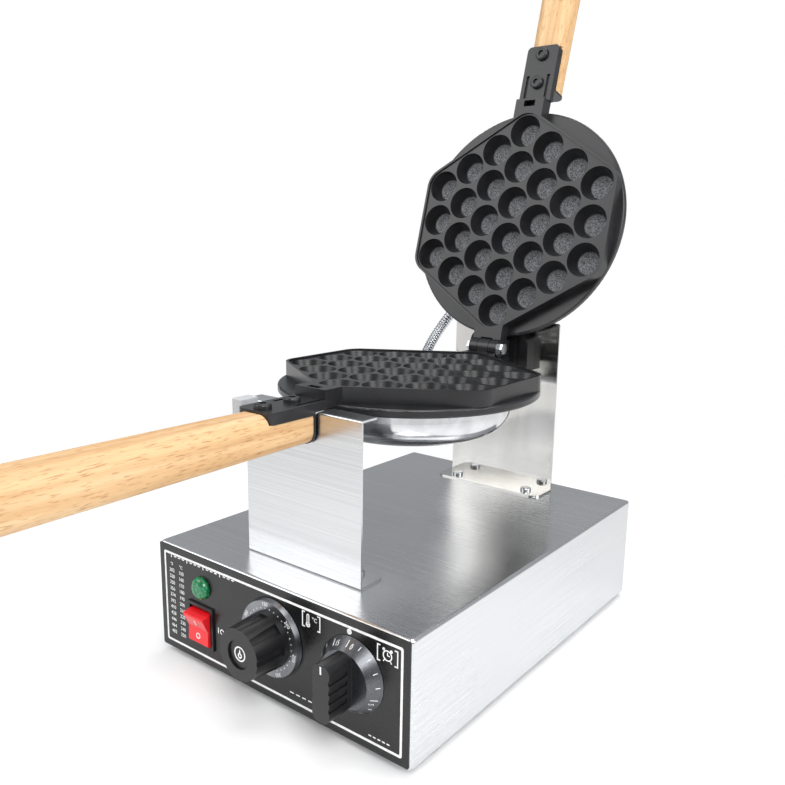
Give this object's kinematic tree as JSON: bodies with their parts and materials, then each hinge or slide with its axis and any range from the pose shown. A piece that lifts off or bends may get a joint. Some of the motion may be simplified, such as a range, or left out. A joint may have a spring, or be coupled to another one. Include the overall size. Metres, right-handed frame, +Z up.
{
  "type": "bubble waffle maker",
  "caption": "Tabletop bubble waffle maker: steel base with dial controls, hinged round two-part iron with domed cups that turns over on a rear shaft.",
  "frame": {"origin": "bottom centre of the whole part's box, on the bench, with the lid open and the grips towards the user", "axes": "+Z up, front towards -Y with the grips, +X to the right as seen from the front"},
  "size_m": [0.24, 0.6654, 0.6985],
  "materials": {
    "stainless": "brushed stainless steel sheet",
    "mirror_stainless": "mirror-polished stainless steel sheet",
    "rubber": "black rubber",
    "panel_black": "black printed panel with white marks",
    "zinc": "bright zinc-plated steel",
    "black_coating": "cast aluminium with black non-stick coating",
    "black_plastic": "black plastic",
    "green_lens": "translucent green lens",
    "white_plastic": "white plastic",
    "chrome": "bright chrome-plated steel",
    "dark_bolt": "blackened steel",
    "beech": "oiled pale beech",
    "pale_plastic": "pale grey plastic",
    "conduit_metal": "ribbed flexible steel conduit",
    "silver_dial": "satin silver dial",
    "red_plastic": "glossy red plastic"
  },
  "bodies": {
    "base": {"base_housing": "stainless", "bottom_plate": "stainless", "rubber_feet": "rubber", "control_panel": "panel_black", "front_support_bracket": "stainless", "rear_support_bracket": "mirror_stainless", "front_bracket_screws": "zinc", "front_bracket_nuts": "zinc", "rear_bracket_screws": "zinc", "rear_bracket_nuts": "zinc", "bearing_block": "black_coating", "bearing_block_screws": "zinc", "thermostat_body": "stainless", "timer_body": "stainless", "switch_housing": "black_plastic", "indicator_lamp": "green_lens", "terminal_block": "white_plastic", "cable_gland": "black_plastic"},
    "lower_iron": {"lower_plate": "black_coating", "lower_heater": "stainless", "lower_cover": "chrome", "lower_cover_screws": "zinc", "lower_handle_strap": "black_coating", "lower_handle_bolts": "dark_bolt", "lower_handle_grip": "beech", "handle_block": "pale_plastic", "hinge_pin": "zinc", "hinge_nut": "zinc", "pivot_shaft": "zinc", "shaft_nut": "zinc", "lower_conduit_fitting": "zinc", "wire_conduit": "conduit_metal"},
    "lid": {"upper_plate": "black_coating", "upper_heater": "stainless", "upper_cover": "chrome", "upper_cover_screws": "zinc", "upper_handle_strap": "black_coating", "upper_handle_bolts": "dark_bolt", "upper_handle_grip": "beech", "upper_conduit_fitting": "zinc"},
    "thermostat_control": {"thermostat_dial": "silver_dial", "thermostat_knob": "black_plastic"},
    "timer_control": {"timer_knob": "black_plastic"},
    "rocker": {"power_rocker": "red_plastic"}
  },
  "joints": [
    {"name": "iron_flip", "type": "hinge", "parent": "base", "child": "lower_iron", "pos_m": [0, 0.17065, 0.219], "axis": [0, 1, 0], "range_deg": [-15, 15]},
    {"name": "lid_hinge", "type": "hinge", "parent": "lower_iron", "child": "lid", "pos_m": [0, 0.16525, 0.222], "axis": [1, 0, 0], "range_deg": [0, 105.5], "deforming": ["wire_conduit"]},
    {"name": "thermostat_turn", "type": "hinge", "parent": "base", "child": "thermostat_control", "pos_m": [0.003, -0.10935, 0.0535], "axis": [0, 1, 0], "range_deg": [0, 270]},
    {"name": "timer_turn", "type": "hinge", "parent": "base", "child": "timer_control", "pos_m": [0.074, -0.10935, 0.053], "axis": [0, 1, 0], "range_deg": [0, 330]},
    {"name": "rocker_tip", "type": "hinge", "parent": "base", "child": "rocker", "pos_m": [-0.0726, -0.09785, 0.0366], "axis": [-1, 0, 0], "range_deg": [0, 24]}
  ]
}
